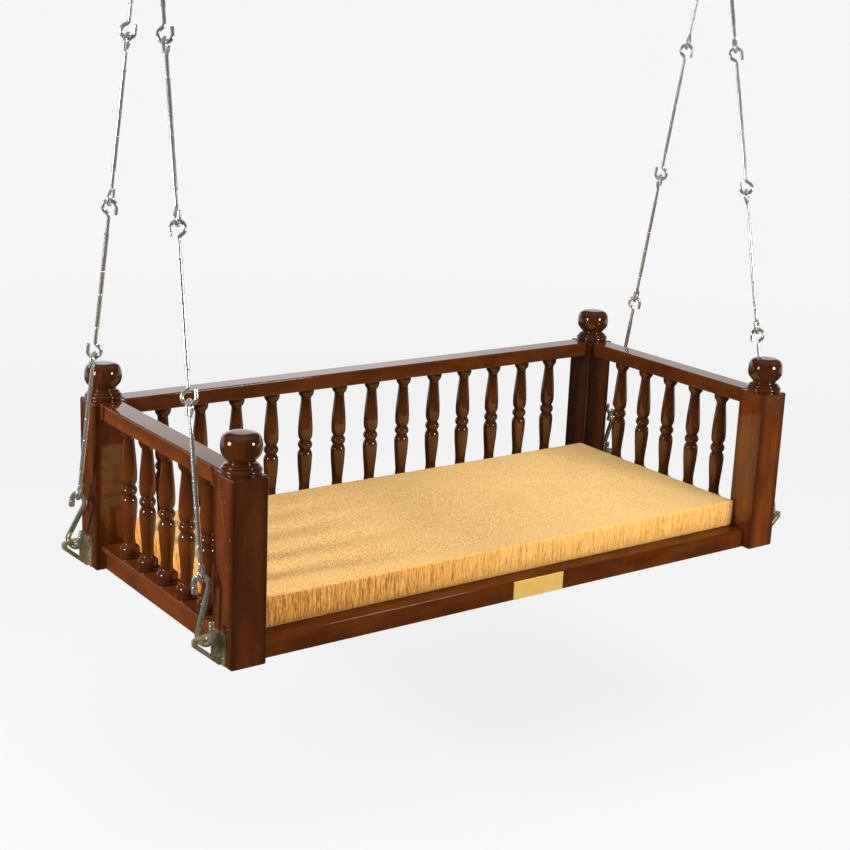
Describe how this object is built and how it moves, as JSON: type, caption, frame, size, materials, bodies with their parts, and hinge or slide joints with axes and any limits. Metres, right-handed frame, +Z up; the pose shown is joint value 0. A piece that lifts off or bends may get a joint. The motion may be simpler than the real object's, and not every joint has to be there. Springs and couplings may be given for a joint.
{
  "type": "jhoola swing",
  "caption": "Railed wooden seat swing with turned spindles and ball finials, a thin mattress, and hooked steel rod chains that hang from ceiling fittings.",
  "frame": {"origin": "on the ceiling, halfway between the two ceiling fittings, which is also above the middle of the seat", "axes": "+Z up, +X along the seat towards its right end seen from the open front, +Y towards the back rail"},
  "size_m": [1.654, 0.718, 1.6424],
  "materials": {
    "lacquered_wood": "dark brown stain under clear gloss lacquer",
    "seat_board": "stained plywood, satin",
    "hidden_wood": "planed hardwood, thin stain",
    "mattress_fabric": "golden tan ribbed chenille, matt with a soft sheen",
    "rod_steel": "polished stainless wire",
    "hook_steel": "polished steel, slightly tarnished",
    "bracket_nickel": "dull antique nickel",
    "screw_steel": "plated, domed heads",
    "plate_brass": "satin brass, left bare",
    "ceiling_steel": "satin steel"
  },
  "bodies": {
    "ceiling": {"ceiling_plates": "ceiling_steel", "pivot_pins": "ceiling_steel"},
    "eye_left": {"swing_eye_left": "ceiling_steel"},
    "eye_right": {"swing_eye_right": "ceiling_steel"},
    "chains_left": {"rod_front_left_1": "rod_steel", "rod_front_left_2": "rod_steel", "rod_front_left_3": "rod_steel", "rod_front_left_4": "rod_steel", "rod_rear_left_1": "rod_steel", "rod_rear_left_2": "rod_steel", "rod_rear_left_3": "rod_steel", "rod_rear_left_4": "rod_steel", "s_hook_front_left": "hook_steel", "s_hook_rear_left": "hook_steel"},
    "chains_right": {"rod_front_right_1": "rod_steel", "rod_front_right_2": "rod_steel", "rod_front_right_3": "rod_steel", "rod_front_right_4": "rod_steel", "rod_rear_right_1": "rod_steel", "rod_rear_right_2": "rod_steel", "rod_rear_right_3": "rod_steel", "rod_rear_right_4": "rod_steel", "s_hook_front_right": "hook_steel", "s_hook_rear_right": "hook_steel"},
    "seat": {"bottom_rail_back": "lacquered_wood", "bottom_rail_left": "lacquered_wood", "bottom_rail_right": "lacquered_wood", "bracket_front_left": "bracket_nickel", "bracket_front_right": "bracket_nickel", "bracket_rear_left": "bracket_nickel", "bracket_rear_right": "bracket_nickel", "bracket_screws": "screw_steel", "finial_front_left": "lacquered_wood", "finial_front_right": "lacquered_wood", "finial_rear_left": "lacquered_wood", "finial_rear_right": "lacquered_wood", "front_plate": "plate_brass", "front_rail": "lacquered_wood", "mattress": "mattress_fabric", "post_front_left": "lacquered_wood", "post_front_right": "lacquered_wood", "post_rear_left": "lacquered_wood", "post_rear_right": "lacquered_wood", "seat_bearers": "hidden_wood", "seat_board": "seat_board", "seat_cleats": "hidden_wood", "spindles_back": "lacquered_wood", "spindles_left": "lacquered_wood", "spindles_right": "lacquered_wood", "sub_rail_back": "lacquered_wood", "sub_rail_left": "lacquered_wood", "sub_rail_right": "lacquered_wood", "top_rail_back": "lacquered_wood", "top_rail_left": "lacquered_wood", "top_rail_right": "lacquered_wood"}
  },
  "joints": [
    {"name": "swing", "type": "hinge", "parent": "ceiling", "child": "eye_left", "pos_m": [-0.757, 0, -0.05], "axis": [1, 0, 0], "range_deg": [-25, 25]},
    {"name": "swing_right", "type": "hinge", "parent": "ceiling", "child": "eye_right", "pos_m": [0.757, 0, -0.05], "axis": [1, 0, 0], "range_deg": [-25, 25]},
    {"name": "sway", "type": "hinge", "parent": "eye_left", "child": "chains_left", "pos_m": [-0.757, 0, -0.114], "axis": [0, 1, 0], "range_deg": [-6, 6]},
    {"name": "sway_right", "type": "hinge", "parent": "eye_right", "child": "chains_right", "pos_m": [0.757, 0, -0.114], "axis": [0, 1, 0], "range_deg": [-6, 6]},
    {"name": "seat_level", "type": "hinge", "parent": "chains_left", "child": "seat", "pos_m": [-0.798, 0, -1.5824], "axis": [0, 1, 0], "range_deg": [-6, 6]}
  ],
  "couplings": [
    {"joint": "swing_right", "follows": "swing", "ratio": 1},
    {"joint": "sway_right", "follows": "sway", "ratio": 1},
    {"joint": "seat_level", "follows": "sway", "ratio": -0.94862}
  ]
}
